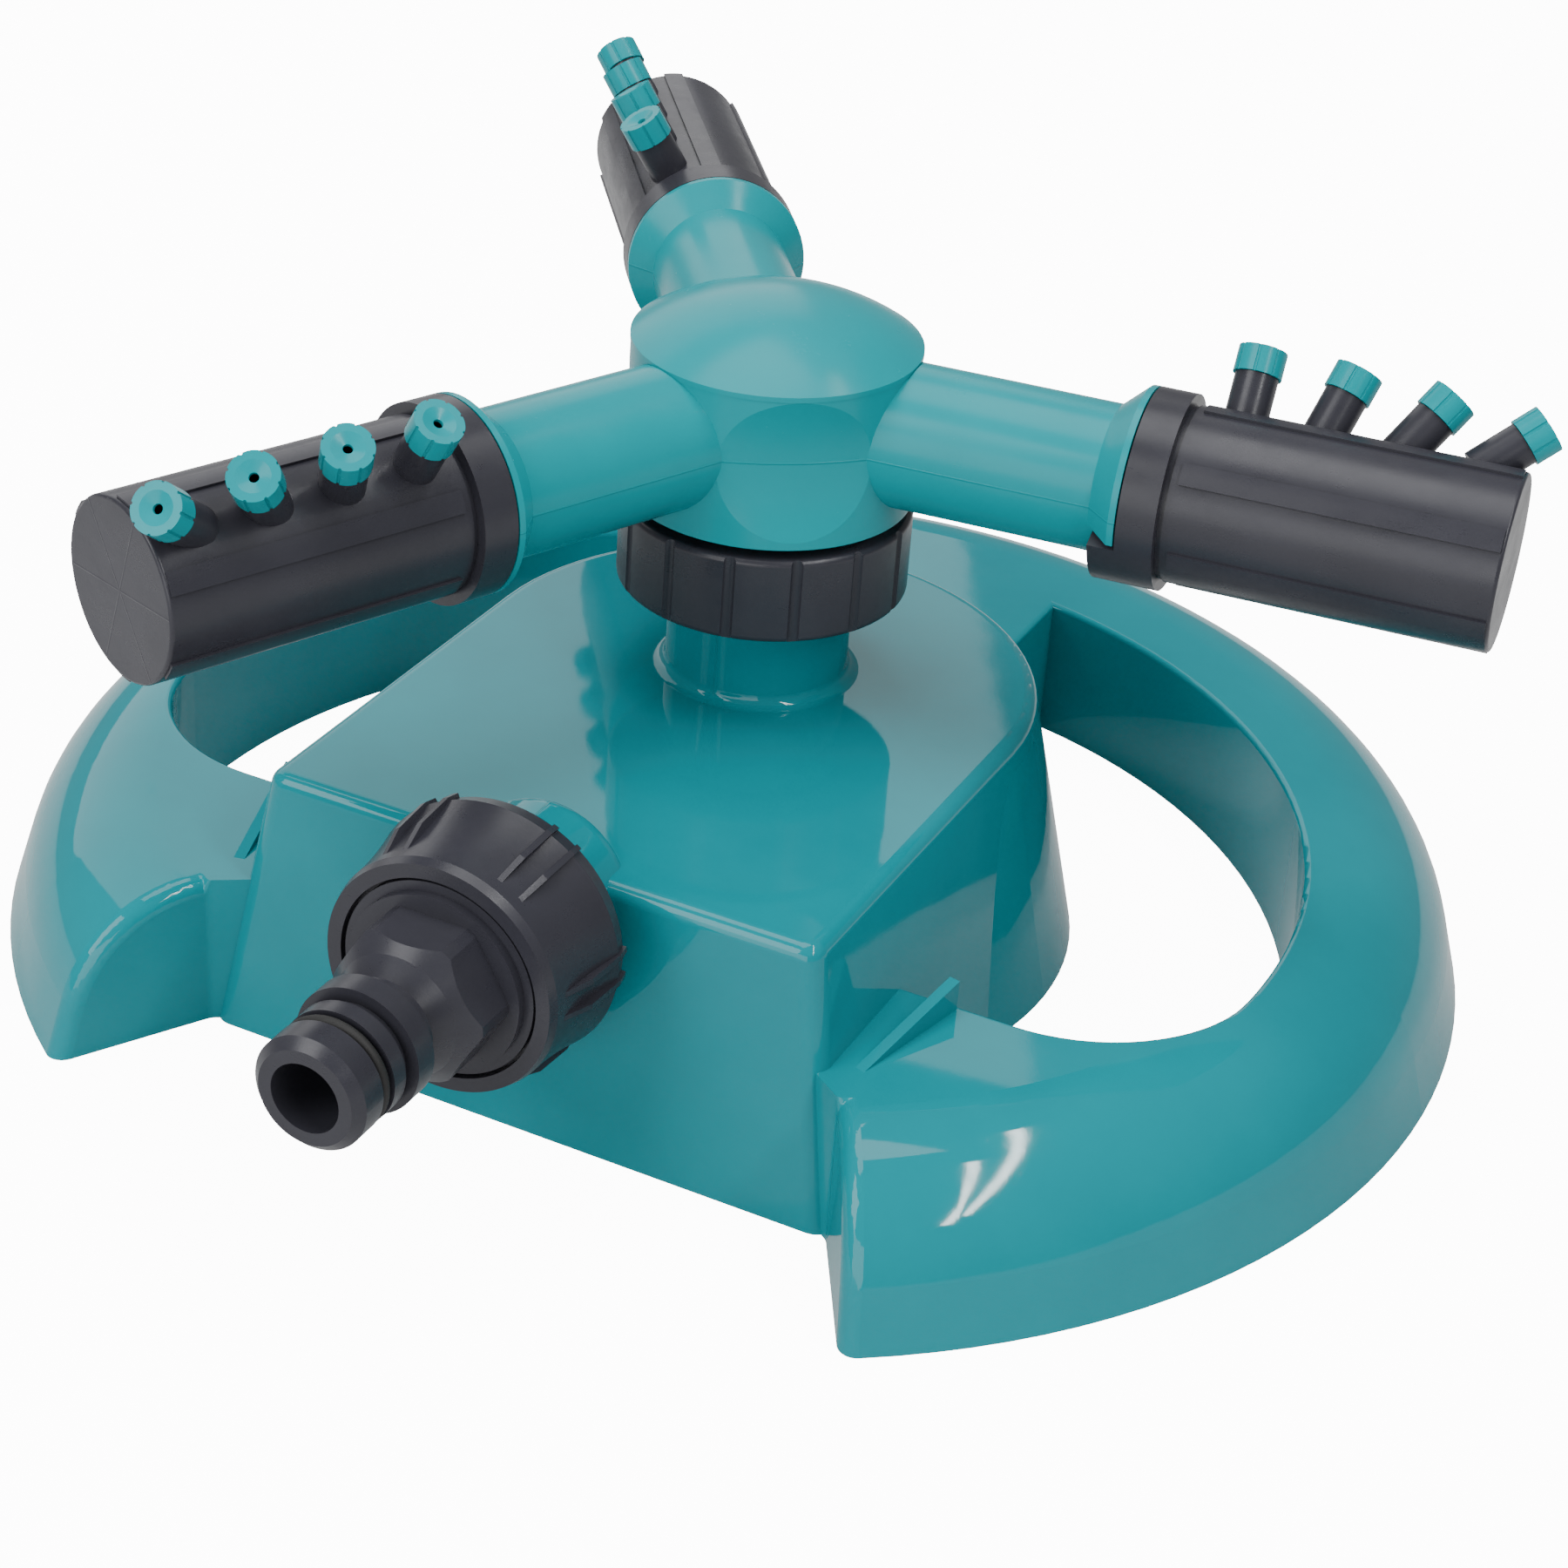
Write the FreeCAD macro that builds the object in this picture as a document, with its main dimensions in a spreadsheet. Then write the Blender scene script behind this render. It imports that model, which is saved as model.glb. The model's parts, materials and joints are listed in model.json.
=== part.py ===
import FreeCAD, Part
import math
import os
import Sketcher

# Rotary lawn sprinkler: a moulded base with a hose inlet, and a three-armed rotor on top of its
# riser. Each arm carries a nozzle barrel that twists about the arm. Millimetres, +Z up, the origin
# on the spin axis at floor level, the hose inlet towards -Y.

DOC = FreeCAD.newDocument("RotarySprinkler")
Vector = FreeCAD.Vector
Rotation = FreeCAD.Rotation
Placement = FreeCAD.Placement

DIMENSIONS = {
    # ---- base shell: ring wings, crown and noses
    "crown_radius": 86.0,
    "crown_arc": 19.7,
    "wing_draft": 16.6,
    "wing_fillet": 2.4,
    "opening_fillet": 0.8,
    "crown_height": 22.8,
    "wall": 2.6,
    "notch_inner_half": 38.0,
    "notch_inner_y": -62.0,
    "notch_far_half": 80.0,
    "notch_far_y": -125.0,
    "notch_widening": 1.16,
    "opening_centre_y": -10.8,
    "opening_radius": 85.6,
    "opening_front_y": -41.6,
    "opening_corner": 25.0,
    "opening_inner_x": 30.0,
    "opening_inner_y": 30.0,
    "web_half": 18.5,
    "gusset_height": 4.5,
    "gusset_thickness": 1.6,
    "gusset_x": 46.4,
    "gusset_y": -67.4,
    "gusset_length": 25.6,
    "gusset_angle": 77.4,
    # ---- base shell: housing
    "housing_height": 39.8,
    "floor_half": 48.0,
    "back_flare_floor": 50.4,
    "back_flare_top": 42.0,
    "back_flare_height": 36.0,
    "floor_front_y": -68.8,
    "top_half": 41.4,
    "top_front_y": -64.2,
    "back_centre_y": -1.0,
    "housing_edge_round": 2.2,
    "housing_corner_round": 3.0,
    "rib_thickness": 1.6,
    "rib_foot": 0.4,
    "rib_spacing": 20.0,
    # ---- base shell: riser, inlet pipe and water channel
    "pipe_radius": 13.2,
    "riser_top": 61.0,
    "riser_flare": 1.8,
    "riser_bore": 8.5,
    "riser_bore_floor": 20.0,
    "riser_tube_radius": 11.2,
    "post_radius": 6.0,
    "channel_height": 27.0,
    "channel_bore": 6.2,
    "channel_tube_radius": 8.6,
    "inlet_height": 34.4,
    "boss_radius": 12.0,
    "boss_back": 57.5,
    "boss_front": 69.5,
    "inlet_pipe_front": 81.0,
    "boss_round": 3.0,
    "inlet_bore": 9.0,
    "inlet_bore_back": 63.0,
    # ---- parallel pipe thread, drawn as rings
    "thread_pitch": 1.814,
    "thread_depth": 1.1,
    "thread_gap": 0.12,
    "thread_turns": 3,
    # ---- collar nut on the riser
    "collar_radius": 20.8,
    "collar_bottom": 54.0,
    "collar_top": 66.6,
    "collar_lip": 1.4,
    "collar_bore": 10.0,
    "collar_round": 0.9,
    "collar_rib_count": 14,
    "collar_rib_width": 0.9,
    "collar_rib_depth": 0.6,
    # ---- spindle and its seals
    "washer_thickness": 0.9,
    "washer_radius": 12.9,
    "lower_washer_bore": 9.6,
    "upper_washer_bore": 10.2,
    "running_gap": 0.05,
    "flange_radius": 12.8,
    "flange_thickness": 2.2,
    "spindle_neck": 9.92,
    "spindle_pilot": 8.42,
    "spindle_bore": 6.0,
    "spindle_bottom": 50.0,
    "spindle_groove_bottom": 54.4,
    "spindle_groove_width": 1.5,
    "spindle_groove_floor": 7.2,
    "spindle_ring_section": 0.62,
    "spindle_ring_radius": 7.85,
    # ---- hub
    "hub_skirt_radius": 20.5,
    "hub_bottom": 68.2,
    "hub_skirt_land": 0.8,
    "hub_waist": 18.6,
    "hub_side_radius": 46.0,
    "hub_side_flare": 2.0,
    "hub_waist_height": 80.0,
    "hub_flare_radius": 20.2,
    "hub_top": 89.9,
    "hub_recess_inner": 12.4,
    "hub_recess_outer": 16.9,
    "hub_recess_top": 70.8,
    "hub_chamber_radius": 14.0,
    "hub_chamber_floor": 74.5,
    "hub_socket_radius": 9.95,
    "cap_radius": 20.3,
    "cap_rim": 0.8,
    "cap_rise": 6.2,
    "cap_plug_radius": 13.92,
    "cap_plug_inner": 11.4,
    "cap_plug_depth": 3.0,
    "cap_cavity_height": 2.6,
    # ---- arms of the hub
    "arm_count": 3,
    "arm_azimuth": 6.246,
    "arm_height": 80.3,
    "arm_radius": 10.2,
    "arm_bore": 7.8,
    "arm_bore_end": 50.5,
    "flare_start": 48.6,
    "flare_end": 52.1,
    "flange_rim": 13.5,
    "flange_face": 53.0,
    "notch_start": 15.0,
    "notch_angle": 92.0,
    "spigot_radius": 8.22,
    "spigot_bore": 5.6,
    "spigot_end": 62.0,
    "seal_groove_start": 55.4,
    "seal_groove_width": 1.6,
    "seal_groove_floor": 6.98,
    "seal_section": 0.62,
    "seal_radius": 7.62,
    "clip_groove_start": 59.6,
    "clip_width": 1.0,
    "clip_groove_floor": 7.3,
    "clip_radius": 9.4,
    "clip_opening": 70.0,
    # ---- nozzle barrels
    "barrel_start": 53.25,
    "barrel_collar_radius": 13.5,
    "barrel_collar_end": 58.4,
    "barrel_neck_width": 0.7,
    "barrel_neck_radius": 11.8,
    "barrel_radius": 12.1,
    "barrel_end": 103.2,
    "barrel_bore": 8.3,
    "barrel_shoulder": 59.5,
    "barrel_chamber": 9.7,
    "barrel_end_wall": 2.6,
    "barrel_edge_round": 0.5,
    "tab_start": 49.5,
    "tab_inner": 10.5,
    "tab_turn": 170.0,
    "tab_angle": 50.0,
    "strip_count": 6,
    "strip_angle": 14.0,
    "strip_height": 0.4,
    "strip_start": 60.2,
    "row_lean_a": 37.0,
    "row_lean_b": 30.5,
    "row_lean_c": 33.5,
    "stub_count": 4,
    "stub_first": 64.6,
    "stub_spacing": 10.85,
    "stub_tilt_step": 15.0,
    "stub_radius": 3.0,
    "stub_tip_radius": 2.2,
    "stub_root": 1.6,
    "stub_length": 8.1,
    "stub_bore": 1.6,
    "nozzle_radius": 3.35,
    "nozzle_length": 3.7,
    "nozzle_face": 1.0,
    "nozzle_start": 5.6,
    "nozzle_bore": 2.22,
    "nozzle_dish": 2.2,
    "nozzle_dish_depth": 0.5,
    "nozzle_orifice": 0.65,
    "nozzle_flute_count": 8,
    "nozzle_flute_radius": 0.22,
    # ---- hose coupling on the inlet
    "coupling_back": 71.0,
    "coupling_back_radius": 17.5,
    "coupling_radius": 18.3,
    "coupling_wide": 73.5,
    "coupling_dome": 60.0,
    "coupling_middle": 80.0,
    "coupling_middle_radius": 17.9,
    "coupling_lip_back": 86.2,
    "coupling_lip_radius": 16.7,
    "coupling_front": 87.6,
    "coupling_front_radius": 16.3,
    "coupling_opening": 14.3,
    "coupling_lip": 1.8,
    "coupling_cavity": 15.2,
    "grip_count": 6,
    "grip_angle": 12.0,
    "grip_height": 0.4,
    "grip_width_angle": 2.6,
    "grip_front": 84.6,
    "inlet_washer_bore": 9.2,
    "inlet_washer_radius": 12.9,
    "inlet_washer_thickness": 1.8,
    "tail_flange_radius": 14.8,
    "tail_flange_thickness": 2.85,
    "tail_disc_radius": 13.8,
    "tail_disc_front": 87.3,
    "tail_step_radius": 12.5,
    "tail_step_front": 88.6,
    "tail_hex_flats": 19.6,
    "tail_body_radius": 10.9,
    "tail_body_front": 97.0,
    "tail_waist_radius": 6.8,
    "tail_shoulder_radius": 8.8,
    "tail_shoulder_back": 102.5,
    "tail_shoulder_front": 106.0,
    "tail_cone_start": 94.6,
    "tail_cone_radius": 8.6,
    "tail_waist_at": 99.6,
    "tail_waist_end": 100.8,
    "tail_groove_radius": 6.9,
    "tail_land_radius": 7.9,
    "tail_land_back": 107.5,
    "tail_ring_back": 110.0,
    "tail_ring_floor": 6.2,
    "tail_head_back": 112.5,
    "tail_head_edge": 116.2,
    "tail_tip": 117.5,
    "tail_tip_radius": 6.6,
    "tail_bore": 4.8,
    "tail_ring_section": 0.8,
}


class Size:
    """A driving size: its number, and the expression that reads it from the sheet."""

    def __init__(self, value, text):
        self.value = value
        self.text = text

    def __add__(self, other):
        return combine(self, other, "+", self.value + number(other))

    def __radd__(self, other):
        return combine(other, self, "+", number(other) + self.value)

    def __sub__(self, other):
        return combine(self, other, "-", self.value - number(other))

    def __rsub__(self, other):
        return combine(other, self, "-", number(other) - self.value)

    def __mul__(self, other):
        return combine(self, other, "*", self.value * number(other))

    def __rmul__(self, other):
        return combine(other, self, "*", number(other) * self.value)

    def __truediv__(self, other):
        return combine(self, other, "/", self.value / number(other))

    def __rtruediv__(self, other):
        return combine(other, self, "/", number(other) / self.value)

    def __neg__(self):
        return Size(-self.value, f"(-1 * {self.text})")


def number(size):
    return size.value if isinstance(size, Size) else float(size)


def expression(size):
    return size.text if isinstance(size, Size) else f"({size})"


def combine(first, second, sign, value):
    return Size(value, f"({expression(first)} {sign} {expression(second)})")


def root(size):
    return Size(math.sqrt(size.value), f"sqrt({size.text})")


def sine(size):
    return Size(math.sin(math.radians(number(size))), f"sin({expression(size)})")


def cosine(size):
    return Size(math.cos(math.radians(number(size))), f"cos({expression(size)})")


class Sizes:
    """Every row of the sheet as an attribute."""


def write_sheet():
    sheet = DOC.addObject("Spreadsheet::Sheet", "Dims")
    sizes = Sizes()
    for row, (name, value) in enumerate(DIMENSIONS.items(), start=1):
        sheet.set(f"A{row}", name)
        sheet.set(f"B{row}", str(value))
        sheet.setAlias(f"B{row}", name)
        setattr(sizes, name, Size(value, f"Dims.{name}"))
    DOC.recompute()
    return sizes


D = write_sheet()
NODES = {}


# ---------------------------------------------------------------- document helpers

def bind(thing, prop, size):
    """Set one property and tie it to the sheet."""
    if "." not in prop:
        setattr(thing, prop, number(size))
    if isinstance(size, Size):
        thing.setExpression(prop, size.text)


def new_body(name):
    body = DOC.addObject("PartDesign::Body", name)
    body.Label = name
    return body


def origin_feature(body, role):
    return next(item for item in body.Origin.OriginFeatures if item.Role == role)


def new_sketch(body, name, role="XZ_Plane", shift=(0, 0, 0), spin=0, about=Vector(0, 0, 1)):
    """A sketch on one of the body's own planes, shifted and turned in the plane's own frame."""
    sketch = body.newObject("Sketcher::SketchObject", name)
    sketch.AttachmentSupport = [(origin_feature(body, role), "")]
    sketch.MapMode = "FlatFace"
    place(sketch, "AttachmentOffset", shift, spin, about)
    return sketch


def place(thing, prop, shift, spin=0, about=Vector(0, 0, 1)):
    """Set a placement from sizes, and tie every size of it to the sheet."""
    base = Vector(*[number(size) for size in shift])
    setattr(thing, prop, Placement(base, Rotation(about, number(spin))))
    for axis, size in zip("xyz", shift):
        if isinstance(size, Size):
            thing.setExpression(f"{prop}.Base.{axis}", size.text)
    if isinstance(spin, Size):
        thing.setExpression(f"{prop}.Rotation.Angle", spin.text)


def constrain(sketch, size, *args):
    """Add one dimension to the sketch and tie it to the sheet."""
    index = sketch.addConstraint(Sketcher.Constraint(*args, number(size)))
    if isinstance(size, Size):
        sketch.setExpression(f"Constraints[{index}]", size.text)


def fix_point(sketch, geometry, end, point):
    constrain(sketch, point[0], "DistanceX", -1, 1, geometry, end)
    constrain(sketch, point[1], "DistanceY", -1, 1, geometry, end)


def arc_between(start, stop, radius, bulge):
    """The shorter arc from start to stop, bulging to the left (+1) or right (-1) of the chord."""
    first = Vector(number(start[0]), number(start[1]), 0)
    last = Vector(number(stop[0]), number(stop[1]), 0)
    chord = last - first
    side = Vector(-chord.y, chord.x, 0).normalize() * bulge
    sag = number(radius) - math.sqrt(max(number(radius) ** 2 - (chord.Length / 2) ** 2, 0))
    return Part.Arc(first, (first + last) / 2 + side * sag, last)


def outline(sketch, steps):
    """A closed profile. A step is (x, y), or (x, y, radius, bulge) for an arc that ends there."""
    geometry = []
    for index, step in enumerate(steps):
        start = steps[index - 1]
        if len(step) == 2:
            edge = Part.LineSegment(Vector(number(start[0]), number(start[1]), 0),
                                    Vector(number(step[0]), number(step[1]), 0))
        else:
            edge = arc_between(start, step, step[2], step[3])
        geometry.append(sketch.addGeometry(edge, False))
    for index, step in enumerate(steps):
        start_end, stop_end = arc_ends(step)
        following = steps[(index + 1) % len(steps)]
        next_start = arc_ends(following)[0]
        next_edge = geometry[(index + 1) % len(steps)]
        sketch.addConstraint(
            Sketcher.Constraint("Coincident", geometry[index], stop_end, next_edge, next_start))
        fix_point(sketch, geometry[index], stop_end, step)
        if len(step) > 2:
            constrain(sketch, step[2], "Radius", geometry[index])
    return sketch


def arc_ends(step):
    """Which end of the edge is its start: a left bulge is drawn clockwise, so its ends swap."""
    if len(step) == 2 or step[3] < 0:
        return 1, 2
    return 2, 1


def circle(sketch, centre, radius):
    middle = Vector(number(centre[0]), number(centre[1]), 0)
    edge = sketch.addGeometry(Part.Circle(middle, Vector(0, 0, 1), number(radius)), False)
    constrain(sketch, radius, "Radius", edge)
    fix_point(sketch, edge, 3, centre)
    return sketch


def turn(body, name, steps, kind="Revolution", axis="V_Axis", sketch=None, angle=360):
    """Revolve a profile round one axis of its sketch; a part turn is centred on the sketch."""
    if sketch is None:
        sketch = new_sketch(body, name + "_profile")
    outline(sketch, steps)
    feature = body.newObject("PartDesign::" + kind, name)
    feature.Profile = sketch
    feature.ReferenceAxis = (sketch, [axis])
    bind(feature, "Angle", angle)
    feature.Midplane = number(angle) < 360
    return feature


def extrude(body, name, sketch, length, kind="Pad", symmetric=False, backwards=False):
    feature = body.newObject("PartDesign::" + kind, name)
    feature.Profile = sketch
    bind(feature, "Length", length)
    feature.Midplane = symmetric
    feature.Reversed = backwards
    return feature


def repeat_round(body, name, feature, count, axis, angle=360.0):
    pattern = body.newObject("PartDesign::PolarPattern", name)
    pattern.Originals = [feature]
    pattern.Axis = (origin_feature(body, axis), [""])
    pattern.Angle = angle
    bind(pattern, "Occurrences", count)
    body.Tip = pattern
    return pattern


def round_edges(body, name, radius, keep):
    """Fillet the edges of the body's present tip whose middle point satisfies keep."""
    DOC.recompute()
    base = body.Tip
    edges = [f"Edge{index}" for index, edge in enumerate(base.Shape.Edges, start=1)
             if keep(edge, edge.valueAt((edge.FirstParameter + edge.LastParameter) / 2))]
    feature = body.newObject("PartDesign::Fillet", name)
    feature.Base = (base, edges)
    bind(feature, "Radius", radius)
    body.Tip = feature
    return feature


def join(name, parts):
    thing = DOC.addObject("Part::MultiFuse", name)
    thing.Shapes = parts
    return thing


def subtract(name, base, tool):
    thing = DOC.addObject("Part::Cut", name)
    thing.Base = base
    thing.Tool = tool
    return thing


def common(name, parts):
    thing = DOC.addObject("Part::MultiCommon", name)
    thing.Shapes = parts
    return thing


def box(name, low, high):
    """A box between two corners, each given as three sizes."""
    thing = DOC.addObject("Part::Box", name)
    for prop, axis, start, stop in zip(("Length", "Width", "Height"), "xyz", low, high):
        bind(thing, prop, stop - start)
        bind(thing, f"Placement.Base.{axis}", start)
    return thing


def rod(name, radius, start, stop, height=None):
    """A cylinder: upright from start to stop, or lying along -Y at the given height."""
    thing = DOC.addObject("Part::Cylinder", name)
    bind(thing, "Radius", radius)
    bind(thing, "Height", stop - start)
    if height is None:
        bind(thing, "Placement.Base.z", start)
        return thing
    thing.Placement = Placement(Vector(), Rotation(Vector(1, 0, 0), 90))
    bind(thing, "Placement.Base.y", -start)
    bind(thing, "Placement.Base.z", height)
    return thing


def node(thing, name):
    """Name a finished piece; its label is the name of its file."""
    thing.Label = name
    NODES[name] = thing
    return thing


def thread_steps(radius, start, gap=0.0, upward=True):
    """The zigzag of a thread drawn as rings, as (height, radius) points going one way."""
    points = []
    for index in range(int(D.thread_turns.value)):
        crest = start + D.thread_pitch * index
        points.append((crest, radius + gap))
        points.append((crest + D.thread_pitch / 2, radius + gap - D.thread_depth))
    points.append((start + D.thread_pitch * D.thread_turns, radius + gap))
    return points if upward else points[::-1]


def swapped(points):
    return [(second, first) for first, second in points]


# ---------------------------------------------------------------- base shell

def wing_profile(inset, bottom):
    """Half section of the ring: drafted outer wall, crown arc and flat crown."""
    arc = D.crown_arc - inset
    shoulder_x = D.crown_radius + arc * cosine(D.wing_draft)
    shoulder_z = D.crown_height - D.crown_arc + arc * sine(D.wing_draft)
    slope = sine(D.wing_draft) / cosine(D.wing_draft)
    foot_x = shoulder_x + (shoulder_z - bottom) * slope
    top = D.crown_height - inset
    return [(0, bottom), (foot_x, bottom), (shoulder_x, shoulder_z),
            (D.crown_radius, top, arc, -1), (0, top)]


def notch_steps(inset):
    """Plan of what is left out of the ring in front, between the two noses."""
    grow = inset * D.notch_widening
    inner = (D.notch_inner_half + grow, D.notch_inner_y)
    corner = (D.floor_half + grow, D.floor_front_y)
    far = (D.notch_far_half + grow, D.notch_far_y)
    return [(-inner[0], inner[1]), (-corner[0], corner[1]), (-far[0], far[1]), far, corner, inner]


def opening_steps(side, inset):
    """Plan of one wing opening, on the right (+1) or the left (-1)."""
    outer = D.opening_radius + inset
    corner = D.opening_corner + inset
    front = D.opening_front_y - inset
    web = D.web_half - inset
    drop = front + corner - D.opening_centre_y
    reach = outer - corner
    across = root(reach * reach - drop * drop)
    tangent = (side * across * outer / reach, D.opening_centre_y + drop * outer / reach)
    rear = D.opening_centre_y + root(outer * outer - web * web)
    return [(side * D.opening_inner_x, front), (side * across, front),
            (tangent[0], tangent[1], corner, -side), (side * web, rear, outer, -side),
            (side * web, D.opening_inner_y), (side * D.opening_inner_x, D.opening_inner_y)]


def wing_form(name, inset, bottom):
    """The ring with its notch and both openings, drawn inset from its outer surface."""
    body = new_body(name)
    turn(body, name + "_ring", wing_profile(inset, bottom))
    plans = [("notch", notch_steps(inset)), ("right", opening_steps(1, inset)),
             ("left", opening_steps(-1, inset))]
    for label, steps in plans:
        sketch = outline(new_sketch(body, f"{name}_{label}_plan", "XY_Plane", (0, 0, bottom)), steps)
        extrude(body, f"{name}_{label}", sketch, D.housing_height, "Pocket", backwards=True)
    return body


def housing_form(name, inset, bottom):
    """The D-shaped housing: a tapering box with a tapering half-round back."""
    body = new_body(name)
    floor = D.floor_half - inset
    top = D.top_half - inset
    height = D.housing_height - inset - bottom
    back = body.newObject("PartDesign::AdditiveCone", name + "_back")
    place(back, "Placement", (0, D.back_centre_y, bottom))
    for prop, size in (("Radius1", floor), ("Radius2", top), ("Height", height)):
        bind(back, prop, size)
    front = body.newObject("PartDesign::AdditiveWedge", name + "_front")
    place(front, "Placement", (0, D.back_centre_y, bottom), 90, Vector(1, 0, 0))
    floor_reach = D.back_centre_y - D.floor_front_y - inset
    top_reach = D.back_centre_y - D.top_front_y - inset
    sizes = {"Xmin": -floor, "Xmax": floor, "X2min": -top, "X2max": top, "Ymin": 0, "Ymax": height,
             "Zmin": 0, "Zmax": floor_reach, "Z2min": 0, "Z2max": top_reach}
    for prop, size in sizes.items():
        bind(front, prop, size)
    return body


def is_near(first, second, tolerance=0.05):
    return abs(first - number(second)) < tolerance


def outer_wings():
    body = wing_form("wings_outer", 0, 0)
    crown = D.crown_height

    def opening_rim(edge, middle):
        inside = math.hypot(middle.x, middle.y - D.opening_centre_y.value)
        on_arc = inside < D.opening_radius.value + 1 and middle.y > D.opening_front_y.value - 1
        return is_near(middle.z, crown) and on_arc and is_near(edge.BoundBox.ZLength, 0)

    round_edges(body, "wings_opening_edge", D.opening_fillet, opening_rim)
    cut_length = math.hypot(D.notch_far_half.value - D.floor_half.value,
                            D.notch_far_y.value - D.floor_front_y.value)
    normal = ((D.floor_front_y.value - D.notch_far_y.value) / cut_length,
              (D.notch_far_half.value - D.floor_half.value) / cut_length)

    def nose_edge(edge, middle):
        across = (abs(middle.x) - D.floor_half.value) * normal[0]
        along = (middle.y - D.floor_front_y.value) * normal[1]
        return is_near(across + along, 0) and middle.z > 1 and edge.Length > 2

    round_edges(body, "wings_nose_edge", D.wing_fillet, nose_edge)
    return body


def outer_housing():
    body = housing_form("housing_outer", 0, 0)

    def front_corner(edge, middle):
        return middle.y < D.top_front_y.value and edge.BoundBox.ZLength > D.housing_height.value - 1

    round_edges(body, "housing_corner", D.housing_corner_round, front_corner)

    def top_edge(edge, middle):
        return is_near(middle.z, D.housing_height) and is_near(edge.BoundBox.ZLength, 0)

    round_edges(body, "housing_rim", D.housing_edge_round, top_edge)
    return body


def back_flare():
    """The wider skirt round the back of the housing, running out below its rim."""
    flare = DOC.addObject("Part::Cone", "back_flare")
    place(flare, "Placement", (0, D.back_centre_y, 0))
    sizes = {"Radius1": D.back_flare_floor, "Radius2": D.back_flare_top,
             "Height": D.back_flare_height}
    for prop, size in sizes.items():
        bind(flare, prop, size)
    return flare


def gusset(name, side):
    """The thin triangular web beside the housing, rising towards the wing opening."""
    body = new_body(name)
    angle = D.gusset_angle if side > 0 else 180 - D.gusset_angle
    place(body, "Placement", (side * D.gusset_x, D.gusset_y, D.crown_height), angle)
    sketch = outline(new_sketch(body, name + "_side"),
                     [(0, -D.wall / 2), (D.gusset_length, -D.wall / 2),
                      (D.gusset_length, D.gusset_height)])
    extrude(body, name + "_web", sketch, D.gusset_thickness, symmetric=True)
    return body


def inlet_boss():
    """The round boss above the housing that carries the inlet, with a rounded rear end."""
    body = new_body("inlet_boss")
    place(body, "Placement", (0, 0, D.inlet_height), -90)
    turned = D.boss_radius - D.boss_round
    turn(body, "inlet_boss_turned",
         [(D.boss_back, 0), (D.boss_back, turned),
          (D.boss_back + D.boss_round, D.boss_radius, D.boss_round, 1),
          (D.boss_front, D.boss_radius), (D.boss_front, 0)], axis="H_Axis",
         sketch=new_sketch(body, "inlet_boss_profile", "XY_Plane"))
    return body


def inlet_pipe():
    """The threaded end of the inlet, outside the housing."""
    body = new_body("inlet_pipe")
    place(body, "Placement", (0, 0, D.inlet_height), -90)
    start = D.inlet_pipe_front - D.thread_pitch * (D.thread_turns + 0.5)
    steps = [(D.boss_front - D.wall, 0), (D.boss_front - D.wall, D.pipe_radius)]
    steps += thread_steps(D.pipe_radius, start)
    steps += [(D.inlet_pipe_front, D.pipe_radius), (D.inlet_pipe_front, 0)]
    turn(body, "inlet_pipe_turned", steps, axis="H_Axis",
         sketch=new_sketch(body, "inlet_pipe_profile", "XY_Plane"))
    return body


def riser():
    """The upright pipe: a tube inside the housing, a threaded end above it."""
    body = new_body("riser")
    bottom = D.riser_bore_floor - D.wall
    roof = D.housing_height - D.wall / 2
    foot = D.pipe_radius + D.riser_flare
    start = D.riser_top - D.thread_pitch * (D.thread_turns + 0.5)
    steps = [(0, bottom), (D.riser_tube_radius, bottom), (D.riser_tube_radius, roof), (foot, roof),
             (foot, D.housing_height),
             (D.pipe_radius, D.housing_height + D.riser_flare, D.riser_flare, 1)]
    steps += swapped(thread_steps(D.pipe_radius, start))
    steps += [(D.pipe_radius, D.riser_top), (0, D.riser_top)]
    turn(body, "riser_turned", steps)
    return body


def rib_grid():
    """Upright ribs both ways across the underside of the base."""
    half = D.rib_thickness / 2
    reach = D.crown_radius + D.crown_arc
    top = D.housing_height
    ribs = []
    for index in range(-5, 6):
        at = D.rib_spacing * index
        ribs.append(box(f"rib_across_{index + 5}", (-reach, at - half, D.rib_foot),
                        (reach, at + half, top)))
        ribs.append(box(f"rib_along_{index + 5}", (at - half, -reach, D.rib_foot),
                        (at + half, reach, top)))
    return join("rib_grid", ribs)


def base_shell():
    middle = D.wall / 2
    below = -D.riser_flare
    outside = join("base_outside", [outer_wings(), outer_housing(), back_flare()])
    inside = join("base_inside", [wing_form("wings_inner", D.wall, below),
                                  housing_form("housing_inner", D.wall, below)])
    rib_limit = join("rib_limit", [wing_form("wings_middle", middle, D.rib_foot),
                                   housing_form("housing_middle", middle, D.rib_foot)])
    ribs = common("base_ribs", [rib_grid(), rib_limit])
    hollow = subtract("base_hollow", outside, inside)
    channel = rod("channel_tube", D.channel_tube_radius, 0, D.boss_back + D.boss_round,
                  D.channel_height)
    post = rod("centre_post", D.post_radius, 0 * D.wall, D.riser_bore_floor)
    solid = join("base_solid", [hollow, ribs, gusset("gusset_right", 1), gusset("gusset_left", -1),
                                channel, post, riser(), inlet_boss(), inlet_pipe()])
    water = join("base_water", [
        rod("riser_water", D.riser_bore, D.riser_bore_floor, D.riser_top + 1),
        rod("channel_water", D.channel_bore, 0, D.inlet_bore_back + 1, D.channel_height),
        rod("inlet_water", D.inlet_bore, D.inlet_bore_back, D.inlet_pipe_front + 1, D.inlet_height)])
    return node(subtract("base_cut", solid, water), "base_shell")


# ---------------------------------------------------------------- hose coupling

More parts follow.
